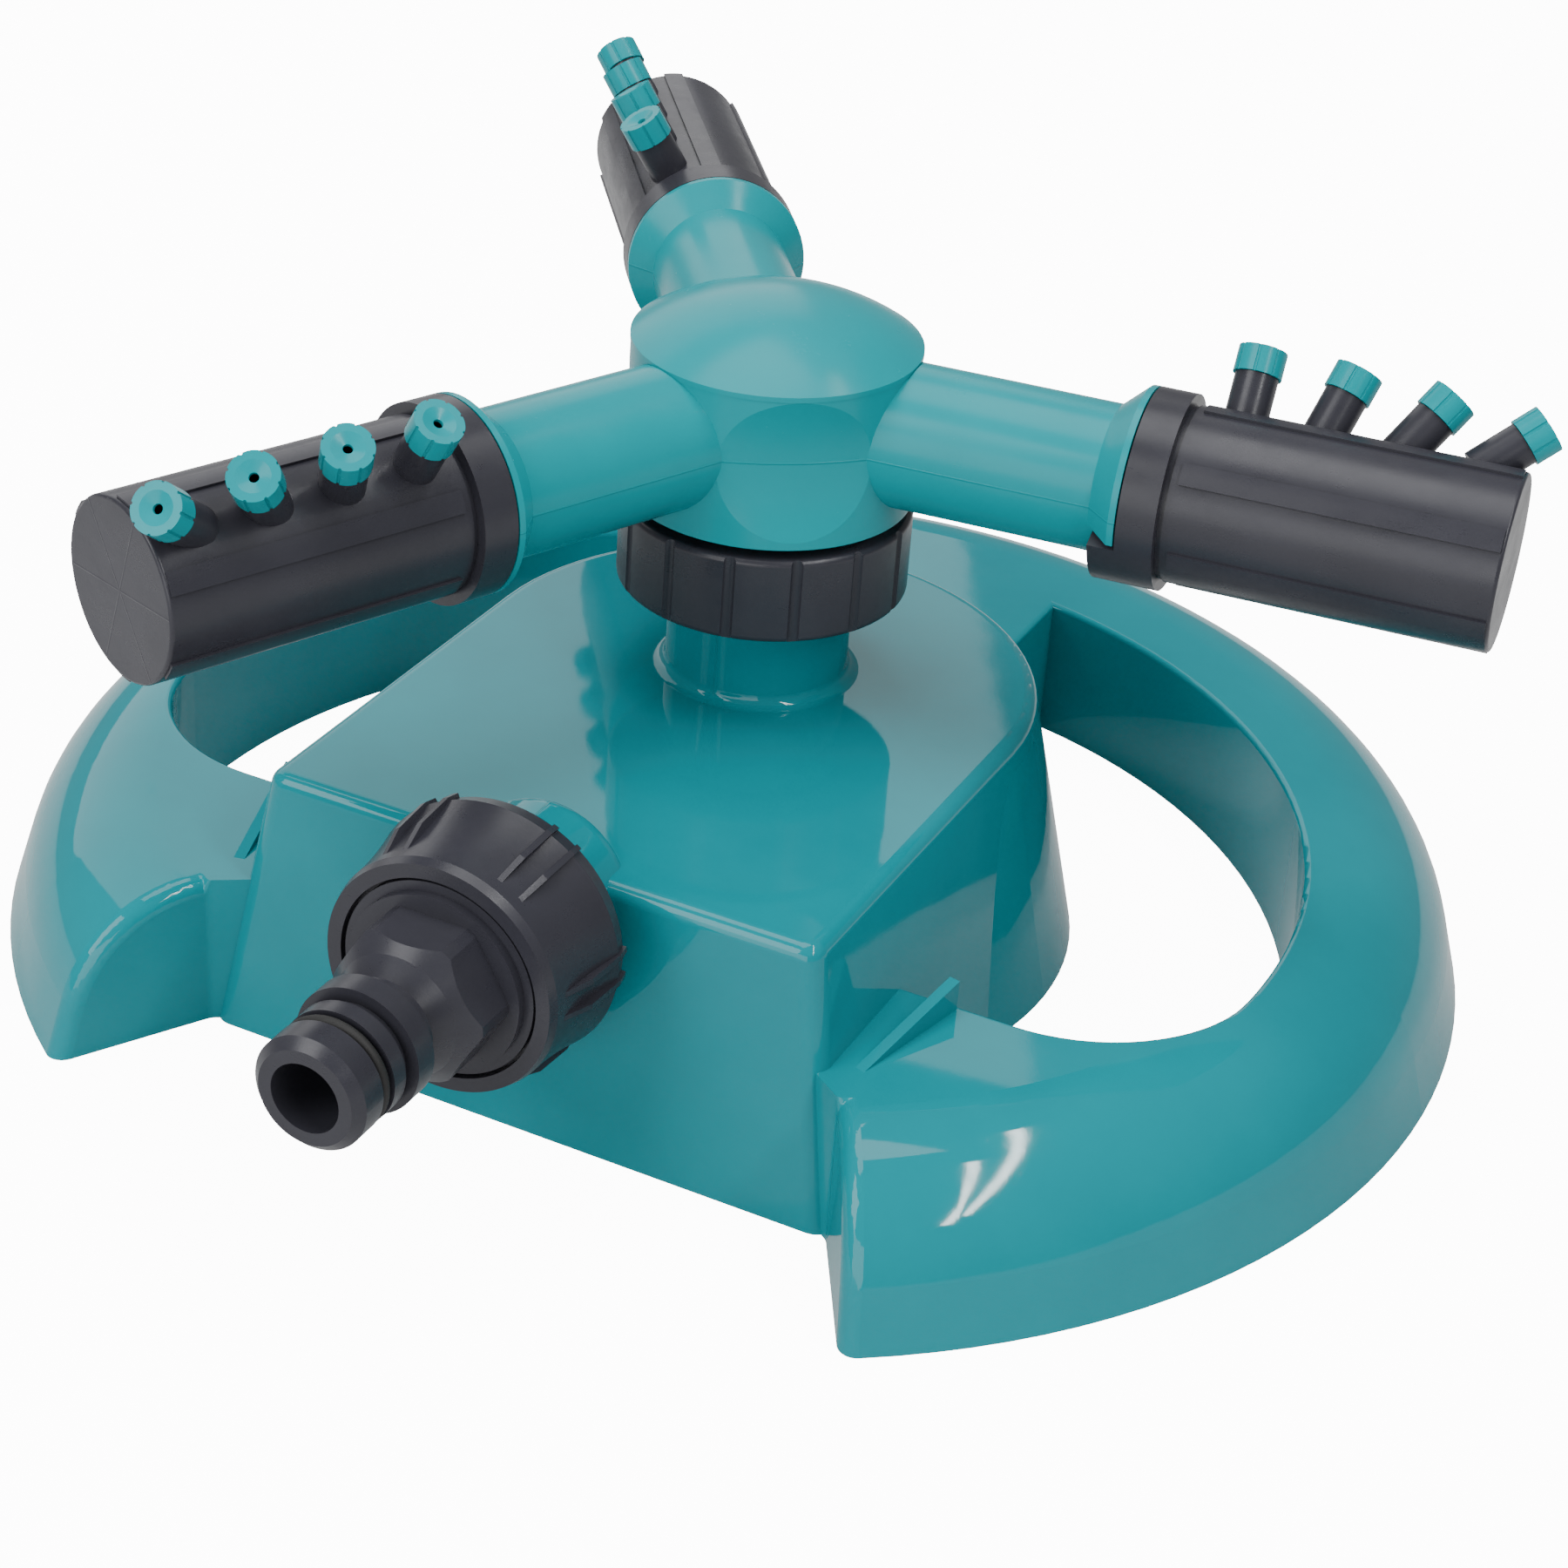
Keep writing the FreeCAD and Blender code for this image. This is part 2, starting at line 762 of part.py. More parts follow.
def along_inlet(name):
    """A body whose own X axis is the inlet axis, pointing out of the base."""
    body = new_body(name)
    place(body, "Placement", (0, 0, D.inlet_height), -90)
    return body


def flat_sketch(body, name):
    return new_sketch(body, name + "_profile", "XY_Plane")


def washer(body, inner, outer, start, stop):
    turn(body, body.Name + "_turned", [(start, inner), (stop, inner), (stop, outer), (start, outer)],
         axis="H_Axis", sketch=flat_sketch(body, body.Name))
    return node(body, body.Name)


def seal_ring(body, at, radius, section, axis):
    """An O-ring: a round section turned about the body's X or Z axis."""
    centre = (at, radius) if axis == "H_Axis" else (radius, at)
    sketch = circle(new_sketch(body, body.Name + "_section"), centre, section)
    ring = body.newObject("PartDesign::Revolution", body.Name + "_ring")
    ring.Profile = sketch
    ring.ReferenceAxis = (sketch, [axis])
    ring.Angle = 360
    return node(body, body.Name)


def grip_ribs(body):
    """Pairs of thin raised ribs along the domed side of the coupling nut."""
    raised = D.coupling_radius + D.grip_height
    ribs = []
    for index, side in enumerate((-1, 1)):
        sketch = new_sketch(body, f"grip_{index}_profile", "XY_Plane", (0, 0, 0),
                            side * D.grip_angle / 2, Vector(1, 0, 0))
        steps = [(D.coupling_back + D.grip_height, D.coupling_cavity),
                 (D.coupling_back + D.grip_height, D.coupling_radius),
                 (D.coupling_wide, raised),
                 (D.coupling_middle, D.coupling_middle_radius + D.grip_height),
                 (D.grip_front, D.coupling_lip_radius), (D.grip_front, D.coupling_cavity)]
        ribs.append(turn(body, f"grip_{index}", steps, axis="H_Axis", sketch=sketch,
                         angle=D.grip_width_angle))
    pattern = repeat_round(body, "grips", ribs[0], D.grip_count, "X_Axis")
    pattern.Originals = ribs


def inlet_coupling_nut():
    body = along_inlet("inlet_coupling_nut")
    start = D.inlet_pipe_front - D.thread_pitch * (D.thread_turns + 0.5)
    bore = D.pipe_radius + D.thread_gap
    cavity = D.inlet_pipe_front - D.thread_pitch / 2
    lip_back = D.coupling_front - D.coupling_lip
    steps = [(D.coupling_back, D.coupling_back_radius), (D.coupling_back, bore)]
    steps += thread_steps(D.pipe_radius, start, D.thread_gap)
    steps += [(cavity, D.coupling_cavity), (lip_back, D.coupling_cavity),
              (lip_back, D.coupling_opening), (D.coupling_front, D.coupling_opening),
              (D.coupling_front, D.coupling_front_radius),
              (D.coupling_lip_back, D.coupling_lip_radius),
              (D.coupling_wide, D.coupling_radius, D.coupling_dome, 1)]
    turn(body, "coupling_turned", steps, axis="H_Axis", sketch=flat_sketch(body, "coupling"))
    grip_ribs(body)
    return node(body, "inlet_coupling_nut")


def hexagon(body, name, at, flats):
    corner = flats / (2 * cosine(30))
    points = [(corner * cosine(60 * index), corner * sine(60 * index)) for index in range(6)]
    return outline(new_sketch(body, name, "YZ_Plane", (0, 0, at)), points)


def quick_connect_nipple():
    """The hose tail: retained flange, hexagon, waist and the ribbed quick-connect tip."""
    body = along_inlet("quick_connect_nipple")
    back = D.inlet_pipe_front + D.inlet_washer_thickness + 2 * D.running_gap
    flange = back + D.tail_flange_thickness
    tail = [(back, D.tail_bore), (back, D.tail_flange_radius), (flange, D.tail_flange_radius),
            (flange, D.tail_disc_radius), (D.tail_disc_front, D.tail_disc_radius),
            (D.tail_disc_front, D.tail_step_radius), (D.tail_step_front, D.tail_step_radius),
            (D.tail_step_front, D.tail_cone_radius), (D.tail_body_front, D.tail_cone_radius),
            (D.tail_waist_at, D.tail_waist_radius), (D.tail_waist_end, D.tail_waist_radius)]
    head = [(D.tail_shoulder_back, D.tail_shoulder_radius),
            (D.tail_shoulder_front, D.tail_shoulder_radius),
            (D.tail_shoulder_front, D.tail_groove_radius), (D.tail_land_back, D.tail_groove_radius),
            (D.tail_land_back, D.tail_land_radius), (D.tail_ring_back, D.tail_land_radius),
            (D.tail_ring_back, D.tail_ring_floor), (D.tail_head_back, D.tail_ring_floor),
            (D.tail_head_back, D.tail_land_radius), (D.tail_head_edge, D.tail_land_radius),
            (D.tail_tip, D.tail_tip_radius), (D.tail_tip, D.tail_bore)]
    turn(body, "tail_turned", tail + head, axis="H_Axis", sketch=flat_sketch(body, "tail"))
    sketch = hexagon(body, "tail_hexagon", D.tail_step_front, D.tail_hex_flats)
    circle(sketch, (0, 0), D.tail_waist_radius)
    extrude(body, "tail_hex", sketch, D.tail_body_front - D.tail_step_front)
    trim = [(D.tail_step_front, D.tail_body_radius), (D.tail_cone_start, D.tail_body_radius),
            (D.tail_body_front, D.tail_cone_radius), (D.tail_waist_end, D.tail_cone_radius),
            (D.tail_waist_end, D.tail_disc_radius), (D.tail_step_front, D.tail_disc_radius)]
    turn(body, "tail_trim", trim, kind="Groove", axis="H_Axis",
         sketch=flat_sketch(body, "tail_trim"))
    return node(body, "quick_connect_nipple")


def coupling_parts():
    inlet_coupling_nut()
    quick_connect_nipple()
    start = D.inlet_pipe_front + D.running_gap
    washer(along_inlet("inlet_washer"), D.inlet_washer_bore, D.inlet_washer_radius, start,
           start + D.inlet_washer_thickness)
    seal_ring(along_inlet("nipple_o_ring"), (D.tail_ring_back + D.tail_head_back) / 2,
              D.tail_ring_floor + D.tail_ring_section + D.running_gap, D.tail_ring_section, "H_Axis")


# ---------------------------------------------------------------- collar nut and spindle

def upright_ring(name, inner, outer, bottom, top):
    body = new_body(name)
    turn(body, name + "_turned", [(inner, bottom), (outer, bottom), (outer, top), (inner, top)])
    return node(body, name)


def collar_nut():
    """The ribbed nut that holds the spindle flange down on the riser."""
    body = new_body("collar_nut")
    start = D.riser_top - D.thread_pitch * (D.thread_turns + 0.5)
    bore = D.pipe_radius + D.thread_gap
    lip = D.collar_top - D.collar_lip
    edge = D.collar_radius - D.collar_round
    inside = [(D.collar_bore, D.collar_top), (D.collar_bore, lip), (bore, lip)]
    inside += swapped(thread_steps(D.pipe_radius, start, D.thread_gap, upward=False))
    steps = inside + [
        (bore, D.collar_bottom), (edge, D.collar_bottom),
        (D.collar_radius, D.collar_bottom + D.collar_round, D.collar_round, -1),
        (D.collar_radius, D.collar_top - D.collar_round),
        (edge, D.collar_top, D.collar_round, -1)]
    turn(body, "collar_turned", steps)
    sketch = circle(new_sketch(body, "collar_flute_plan", "XY_Plane", (0, 0, D.collar_bottom)),
                    (D.collar_radius + D.collar_rib_width - D.collar_rib_depth, 0),
                    D.collar_rib_width)
    flute = extrude(body, "collar_flute", sketch, D.collar_top - D.collar_bottom, "Pocket",
                    backwards=True)
    repeat_round(body, "collar_flutes", flute, D.collar_rib_count, "Z_Axis")
    return node(body, "collar_nut")


def spindle():
    """The hollow spindle: flange on the riser, pilot with its seal below, neck in the hub."""
    body = new_body("spindle")
    flange = D.riser_top + D.washer_thickness + 2 * D.running_gap
    groove_top = D.spindle_groove_bottom + D.spindle_groove_width
    steps = [(D.spindle_bore, D.spindle_bottom), (D.spindle_pilot, D.spindle_bottom),
             (D.spindle_pilot, D.spindle_groove_bottom),
             (D.spindle_groove_floor, D.spindle_groove_bottom),
             (D.spindle_groove_floor, groove_top), (D.spindle_pilot, groove_top),
             (D.spindle_pilot, flange), (D.flange_radius, flange),
             (D.flange_radius, flange + D.flange_thickness),
             (D.spindle_neck, flange + D.flange_thickness),
             (D.spindle_neck, D.hub_chamber_floor), (D.spindle_bore, D.hub_chamber_floor)]
    turn(body, "spindle_turned", steps)
    return node(body, "spindle")


def spindle_parts():
    collar_nut()
    spindle()
    bottom = D.riser_top + D.running_gap
    top = D.collar_top - D.collar_lip - D.running_gap
    upright_ring("lower_thrust_washer", D.lower_washer_bore, D.washer_radius, bottom,
                 bottom + D.washer_thickness)
    upright_ring("upper_thrust_washer", D.upper_washer_bore, D.washer_radius,
                 top - D.washer_thickness, top)
    seal_ring(new_body("spindle_o_ring"), D.spindle_groove_bottom + D.spindle_groove_width / 2,
              D.spindle_ring_radius, D.spindle_ring_section, "V_Axis")


# ---------------------------------------------------------------- hub

def hollow_radius(across, along):
    """Radius of an arc that starts parallel to a line and leaves it by across over along."""
    return (across * across + along * along) / (2 * across)


def hub_outside():
    """The waisted hub with its three arms, solid."""
    body = new_body("hub_outside")
    place(body, "Placement", (0, 0, 0), D.arm_azimuth + 180 / D.arm_count)
    land = D.hub_bottom + D.hub_skirt_land
    top = D.hub_waist_height + D.hub_waist_height - land
    hollow = hollow_radius(D.hub_side_flare, D.hub_waist_height - land)
    turn(body, "hub_turned",
         [(0, D.hub_bottom), (D.hub_recess_inner, D.hub_bottom),
          (D.hub_recess_inner, D.hub_recess_top), (D.hub_recess_outer, D.hub_recess_top),
          (D.hub_recess_outer, D.hub_bottom), (D.hub_skirt_radius, D.hub_bottom),
          (D.hub_skirt_radius, land), (D.hub_flare_radius, D.hub_top), (0, D.hub_top)])
    flared = D.hub_side_radius + D.hub_side_flare
    clear = D.hub_side_radius + D.hub_skirt_radius
    shift = (D.hub_waist - D.hub_side_radius, 0, 0)
    side = turn(body, "hub_side",
                [(flared, land), (D.hub_side_radius, D.hub_waist_height, hollow, 1),
                 (flared, top, hollow, 1), (clear, top), (clear, land)], kind="Groove",
                sketch=new_sketch(body, "hub_side_profile", "XZ_Plane", shift))
    repeat_round(body, "hub_sides", side, D.arm_count, "Z_Axis")
    return body


def arm_frame(body, azimuth, roll=0):
    """Stand the body's X axis along one arm."""
    turned = Rotation(Vector(0, 0, 1), number(azimuth)) * Rotation(Vector(1, 0, 0), number(roll))
    body.Placement = Placement(Vector(0, 0, D.arm_height.value), turned)
    rolled = f"rotation(vector(1; 0; 0); {expression(roll)})"
    body.setExpression("Placement", f"placement(vector(0; 0; {D.arm_height.text}); "
                       f"rotation(vector(0; 0; 1); {expression(azimuth)}) * {rolled})")
    return body


def sector(body, name, at, start, angle):
    """A wedge-shaped plan across an arm, from start and on by angle, measured below its right."""
    points = [(0, 0)]
    for turned in (start, start + angle / 2, start + angle):
        points.append((-2 * D.flange_rim * cosine(turned), -2 * D.flange_rim * sine(turned)))
    return outline(new_sketch(body, name, "YZ_Plane", (0, 0, at)), points)


def hub_arm(letter, azimuth):
    """One arm: flange with its stop notch, tube, and the spigot the barrel turns on."""
    body = arm_frame(new_body("hub_arm_" + letter), azimuth)
    turn(body, f"arm_{letter}_flange",
         [(D.flare_start, 0), (D.flare_start, D.arm_radius), (D.flare_end, D.flange_rim),
          (D.flange_face, D.flange_rim), (D.flange_face, 0)], axis="H_Axis",
         sketch=flat_sketch(body, f"arm_{letter}_flange"))
    wedge = sector(body, f"arm_{letter}_notch_plan", D.flare_start - D.wall, D.notch_start,
                   D.notch_angle)
    extrude(body, f"arm_{letter}_notch", wedge, D.flange_face - D.flare_start + 2 * D.wall,
            "Pocket", backwards=True)
    seal_end = D.seal_groove_start + D.seal_groove_width
    clip_end = D.clip_groove_start + D.clip_width
    turn(body, f"arm_{letter}_tube",
         [(D.spindle_bore, 0), (D.spindle_bore, D.arm_radius), (D.flange_face, D.arm_radius),
          (D.flange_face, D.spigot_radius), (D.seal_groove_start, D.spigot_radius),
          (D.seal_groove_start, D.seal_groove_floor), (seal_end, D.seal_groove_floor),
          (seal_end, D.spigot_radius), (D.clip_groove_start, D.spigot_radius),
          (D.clip_groove_start, D.clip_groove_floor), (clip_end, D.clip_groove_floor),
          (clip_end, D.spigot_radius), (D.spigot_end, D.spigot_radius), (D.spigot_end, 0)],
         axis="H_Axis", sketch=flat_sketch(body, f"arm_{letter}_tube"))
    return body


def arm_bore(letter, azimuth):
    body = arm_frame(new_body("arm_bore_" + letter), azimuth)
    turn(body, f"arm_{letter}_bore",
         [(D.spindle_bore, 0), (D.spindle_bore, D.arm_bore), (D.arm_bore_end, D.arm_bore),
          (D.flange_face, D.spigot_bore), (D.spigot_end + 1, D.spigot_bore), (D.spigot_end + 1, 0)],
         axis="H_Axis", sketch=flat_sketch(body, f"arm_{letter}_bore"))
    return body


def hub_chamber():
    """Room inside the hub: spindle socket, water chamber, and the seat of the cap."""
    body = new_body("hub_chamber")
    above = D.hub_top + D.wall
    turn(body, "hub_chamber_turned",
         [(0, D.hub_bottom - 1), (D.hub_socket_radius, D.hub_bottom - 1),
          (D.hub_socket_radius, D.hub_chamber_floor), (D.hub_chamber_radius, D.hub_chamber_floor),
          (D.hub_chamber_radius, D.hub_top), (D.cap_radius + D.thread_gap, D.hub_top),
          (D.cap_radius + D.thread_gap, above), (0, above)])
    return body


def hub_cap():
    """The lens-shaped cap, with a plug that seats in the hub."""
    body = new_body("hub_cap")
    rim_top = D.hub_top + D.cap_rim
    dome = (D.cap_radius * D.cap_radius + D.cap_rise * D.cap_rise) / (2 * D.cap_rise)
    plug = D.hub_top - D.cap_plug_depth
    seat = D.hub_top + D.running_gap
    turn(body, "hub_cap_turned",
         [(0, D.hub_top + D.cap_cavity_height), (D.cap_plug_inner, D.hub_top + D.cap_rim),
          (D.cap_plug_inner, plug), (D.cap_plug_radius, plug), (D.cap_plug_radius, seat),
          (D.cap_radius, seat), (D.cap_radius, rim_top), (0, rim_top + D.cap_rise, dome, -1)])
    return node(body, "hub_cap")


# ---------------------------------------------------------------- nozzle barrels

def barrel_turned(body, name):
    """The barrel: open collar end, bore, chamber and closed far end."""
    neck = D.barrel_collar_end + D.barrel_neck_width
    edge = D.barrel_radius - D.barrel_edge_round
    inner_end = D.barrel_end - D.barrel_end_wall
    turn(body, name + "_turned",
         [(D.barrel_start, D.barrel_bore), (D.barrel_start, D.barrel_collar_radius),
          (D.barrel_collar_end, D.barrel_collar_radius), (D.barrel_collar_end, D.barrel_neck_radius),
          (neck, D.barrel_neck_radius), (neck, D.barrel_radius),
          (D.barrel_end - D.barrel_edge_round, D.barrel_radius),
          (D.barrel_end, edge, D.barrel_edge_round, 1), (D.barrel_end, 0), (inner_end, 0),
          (inner_end, D.barrel_chamber), (D.barrel_shoulder, D.barrel_chamber),
          (D.barrel_shoulder, D.barrel_bore)], axis="H_Axis", sketch=flat_sketch(body, name))


def barrel_strips(body, name):
    """Raised flat strips along the barrel."""
    stop = D.barrel_end - D.barrel_edge_round
    top = D.barrel_radius + D.strip_height
    root_radius = D.barrel_neck_radius - D.strip_height
    strip = turn(body, name + "_strip",
                 [(D.strip_start, root_radius), (D.strip_start, top), (stop, top),
                  (stop, root_radius)], axis="H_Axis", sketch=flat_sketch(body, name + "_strip"),
                 angle=D.strip_angle)
    repeat_round(body, name + "_strips", strip, D.strip_count, "X_Axis")


def barrel_tab(body, name):
    """The stop tab on the collar, which runs in the notch of the arm flange."""
    sketch = new_sketch(body, name + "_tab_profile", "XZ_Plane", (0, 0, 0), D.tab_turn,
                        Vector(1, 0, 0))
    stop = D.barrel_start + D.running_gap
    turn(body, name + "_tab",
         [(D.tab_start, D.tab_inner), (stop, D.tab_inner), (stop, D.barrel_collar_radius),
          (D.tab_start, D.barrel_collar_radius)], axis="H_Axis", sketch=sketch, angle=D.tab_angle)


def stub_place(index):
    """Where a nozzle stub stands on the barrel, and how far it leans outward."""
    return D.stub_first + D.stub_spacing * index, D.stub_tilt_step * index


def barrel_stub(body, name, index):
    at, lean = stub_place(index)
    shift = (at, D.barrel_radius, 0)
    sketch = new_sketch(body, f"{name}_stub_{index}_profile", "XZ_Plane", shift, -lean)
    turn(body, f"{name}_stub_{index}",
         [(0, -D.stub_root), (D.stub_radius, -D.stub_root), (D.stub_radius, D.nozzle_start),
          (D.stub_tip_radius, D.nozzle_start), (D.stub_tip_radius, D.stub_length),
          (0, D.stub_length)], sketch=sketch)
    sketch = new_sketch(body, f"{name}_port_{index}_profile", "XZ_Plane", shift, -lean)
    turn(body, f"{name}_port_{index}",
         [(0, -D.barrel_end_wall), (D.stub_bore, -D.barrel_end_wall),
          (D.stub_bore, D.stub_length + 1), (0, D.stub_length + 1)], kind="Groove",
         sketch=sketch)


def nozzle_barrel(letter, azimuth):
    """A barrel at the lean its nozzle row rests at."""
    name = "barrel_" + letter
    lean = {"a": D.row_lean_a, "b": D.row_lean_b, "c": D.row_lean_c}[letter]
    body = arm_frame(new_body(name), azimuth, -lean)
    barrel_turned(body, name)
    barrel_strips(body, name)
    barrel_tab(body, name)
    for index in range(int(D.stub_count.value)):
        barrel_stub(body, name, index)
    return node(body, name)


def nozzle_cap(letter, index, barrel):
    """A small flanged cap on one stub, with a dished face, an orifice and a fluted side."""
    name = f"nozzle_cap_{letter}{index + 1}"
    body = new_body(name)
    at, lean = stub_place(index)
    local = Placement(Vector(at.value, 0, D.barrel_radius.value),
                      Rotation(Vector(0, 1, 0), number(lean)))
    body.Placement = barrel.Placement * local
    body.setExpression("Placement", f"{barrel.Name}.Placement * placement(vector("
                       f"{at.text}; 0; {D.barrel_radius.text}); "
                       f"rotation(vector(0; 1; 0); {expression(lean)}))")
    start = D.nozzle_start + D.running_gap
    top = start + D.nozzle_length
    face = top - D.nozzle_face
    turn(body, name + "_turned",
         [(D.nozzle_bore, start), (D.nozzle_radius, start), (D.nozzle_radius, top),
          (D.nozzle_dish, top), (D.nozzle_orifice, top - D.nozzle_dish_depth),
          (D.nozzle_orifice, face), (D.nozzle_bore, face)])
    sketch = circle(new_sketch(body, name + "_flute_plan", "XY_Plane", (0, 0, start)),
                    (D.nozzle_radius, 0), D.nozzle_flute_radius)
    flute = extrude(body, name + "_flute", sketch, D.nozzle_length, "Pocket", backwards=True)
    repeat_round(body, name + "_flutes", flute, D.nozzle_flute_count, "Z_Axis")
    return node(body, name)


def barrel_clip(letter, azimuth):
    """The open snap ring that keeps a barrel on its spigot."""
    name = "barrel_clip_" + letter
    body = arm_frame(new_body(name), azimuth)
    inner = D.clip_groove_floor + D.running_gap
    start = D.clip_groove_start + D.running_gap
    stop = D.clip_groove_start + D.clip_width - D.running_gap
    turn(body, name + "_turned",
         [(start, inner), (start, D.clip_radius), (stop, D.clip_radius), (stop, inner)],
         axis="H_Axis", sketch=flat_sketch(body, name), angle=360 - D.clip_opening)
    return node(body, name)


def rotor_parts():
    outside = [hub_outside()]
    inside = [hub_chamber()]
    for index, letter in enumerate("abc"):
        azimuth = D.arm_azimuth + 360 * index / D.arm_count
        outside.append(hub_arm(letter, azimuth))
        inside.append(arm_bore(letter, azimuth))
        barrel = nozzle_barrel(letter, azimuth)
        for place_on_row in range(int(D.stub_count.value)):
            nozzle_cap(letter, place_on_row, barrel)
        barrel_clip(letter, azimuth)
        ring = arm_frame(new_body("barrel_o_ring_" + letter), azimuth)
        seal_ring(ring, D.seal_groove_start + D.seal_groove_width / 2, D.seal_radius,
                  D.seal_section, "H_Axis")
    hub = subtract("hub_cut", join("hub_solid", outside), join("hub_void", inside))
    node(hub, "hub_body")
    hub_cap()


# ---------------------------------------------------------------- finish

def check_document():
    """Stop when any object failed or any finished piece is not one valid solid."""
    DOC.recompute()
    for thing in DOC.Objects:
        if "Invalid" in thing.State or "Error" in thing.State:
            raise RuntimeError(f"{thing.Name} did not compute: {thing.getStatusString()}")
    for name, thing in NODES.items():
        shape = thing.Shape
        if shape.isNull() or not shape.isValid() or len(shape.Solids) != 1:
            raise RuntimeError(f"{name} is not one valid solid")


def export_nodes():
    os.makedirs("parts", exist_ok=True)
    for name, thing in NODES.items():
        thing.Shape.exportStep(f"parts/{name}.step")


base_shell()
coupling_parts()
spindle_parts()
rotor_parts()
check_document()
export_nodes()
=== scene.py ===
import json
import math

import bpy
from mathutils import Matrix, Vector

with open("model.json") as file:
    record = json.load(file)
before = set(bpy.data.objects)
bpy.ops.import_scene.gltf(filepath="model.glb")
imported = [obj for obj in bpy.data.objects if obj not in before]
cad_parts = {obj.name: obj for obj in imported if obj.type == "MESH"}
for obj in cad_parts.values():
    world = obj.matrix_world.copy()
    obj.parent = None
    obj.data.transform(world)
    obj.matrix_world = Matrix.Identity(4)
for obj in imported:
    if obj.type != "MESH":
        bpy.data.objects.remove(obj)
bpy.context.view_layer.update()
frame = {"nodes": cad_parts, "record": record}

# The looks of a rotary lawn sprinkler, in the part's own metres: the hose inlet points to -Y and
# the rotor turns about Z. Every piece keeps its CAD mesh and gets a procedural finish.

NODES = frame["nodes"]
JOINTS = {joint["name"]: joint for joint in frame["record"]["behaviour"]["joints"]}
MM = 0.001
UP = Vector((0, 0, 1))
WHITE = (1.0, 1.0, 1.0, 1.0)


# ---------------------------------------------------------------- node helpers

LINE_CORE = 0.4
EDGE_FADE = 0.2 * MM


class Shader:
    """A material under construction: adds nodes and links them."""

    def __init__(self, name):
        self.material = bpy.data.materials.new(name)
        self.material.use_nodes = True
        self.tree = self.material.node_tree
        self.surface = self.tree.nodes["Principled BSDF"]
        self.coords = self.tree.nodes.new("ShaderNodeTexCoord").outputs["Object"]

    def link(self, source, target):
        self.tree.links.new(source, target)

    def noise(self, scale, detail=4.0, roughness=0.55, stretch=(1, 1, 1), shift=(0, 0, 0)):
        """Noise in the part's own metres, stretched along its axes."""
        mapping = self.tree.nodes.new("ShaderNodeMapping")
        mapping.inputs["Scale"].default_value = stretch
        mapping.inputs["Location"].default_value = shift
        self.link(self.coords, mapping.inputs["Vector"])
        node = self.tree.nodes.new("ShaderNodeTexNoise")
        node.inputs["Scale"].default_value = scale
        node.inputs["Detail"].default_value = detail
        node.inputs["Roughness"].default_value = roughness
        self.link(mapping.outputs["Vector"], node.inputs["Vector"])
        return node.outputs["Fac"]

    def remap(self, value, low, high, start=0.3, stop=0.7):
        node = self.tree.nodes.new("ShaderNodeMapRange")
        for socket, number in (("From Min", start), ("From Max", stop), ("To Min", low),
                               ("To Max", high)):
            node.inputs[socket].default_value = number
        self.link(value, node.inputs["Value"])
        return node.outputs["Result"]

    def ramp(self, value, stops):
        node = self.tree.nodes.new("ShaderNodeValToRGB")
        ramp = node.color_ramp
        for index, (place, colour) in enumerate(stops):
            element = ramp.elements[index] if index < 2 else ramp.elements.new(place)
            element.position = place
            element.color = (*colour, 1.0)
        self.link(value, node.inputs["Fac"])
        return node.outputs["Color"]

    def math(self, operation, first, second):
        node = self.tree.nodes.new("ShaderNodeMath")
        node.operation = operation
        for index, value in enumerate((first, second)):
            if isinstance(value, (int, float)):
                node.inputs[index].default_value = value
            else:
                self.link(value, node.inputs[index])
        return node.outputs["Value"]

    def along(self, direction, start=0.0):
        """How far a point lies along a direction, past a start distance."""
        node = self.tree.nodes.new("ShaderNodeVectorMath")
        node.operation = "DOT_PRODUCT"
        self.link(self.coords, node.inputs[0])
        node.inputs[1].default_value = direction
        return self.math("SUBTRACT", node.outputs["Value"], start)

    def line(self, offset, half_width):
        """1 on the thin line where the offset is zero, fading to 0 at half_width."""
        distance = self.math("ABSOLUTE", offset, 0.0)
        return self.remap(distance, 1.0, 0.0, LINE_CORE * half_width, half_width)

    def beyond(self, offset):
        """1 where the offset is past zero."""
        return self.remap(offset, 0.0, 1.0, 0.0, EDGE_FADE)

    def bump(self, height, distance, strength=1.0, before=None):
        node = self.tree.nodes.new("ShaderNodeBump")
        node.inputs["Distance"].default_value = distance
        node.inputs["Strength"].default_value = strength
        self.link(height, node.inputs["Height"])
        if before is not None:
            self.link(before, node.inputs["Normal"])
        return node.outputs["Normal"]

    def set(self, **sockets):
        """Plain values go straight on the shader's own sockets; anything else is linked."""
        for name, value in sockets.items():
            socket = self.surface.inputs[name.replace("_", " ")]
            if isinstance(value, (int, float, tuple)):
                socket.default_value = value
            else:
                self.link(value, socket)
        return self


# ---------------------------------------------------------------- marks of the moulds

MARK_HEIGHT = 0.06 * MM
MARK_WIDTH = 0.16 * MM
ARM_HEIGHT = JOINTS["barrel_a_tilt"]["pos_m"][2]
HOUSING_TOP = 40.6 * MM
BARREL_END = 103.1 * MM
FLOW_LINE_TURNS = (35, 95, 160)


def hub_marks(shader):
    """The parting line of the mould round the hub and along the arms."""
    return shader.line(shader.along(UP, ARM_HEIGHT), MARK_WIDTH)


def riser_marks(shader):
    """The upright parting line on the front of the riser."""
    upright = shader.line(shader.along((1, 0, 0)), MARK_WIDTH)
    front = shader.beyond(shader.along((0, -1, 0)))
    above = shader.beyond(shader.along(UP, HOUSING_TOP))
    return shader.math("MULTIPLY", shader.math("MULTIPLY", upright, front), above)


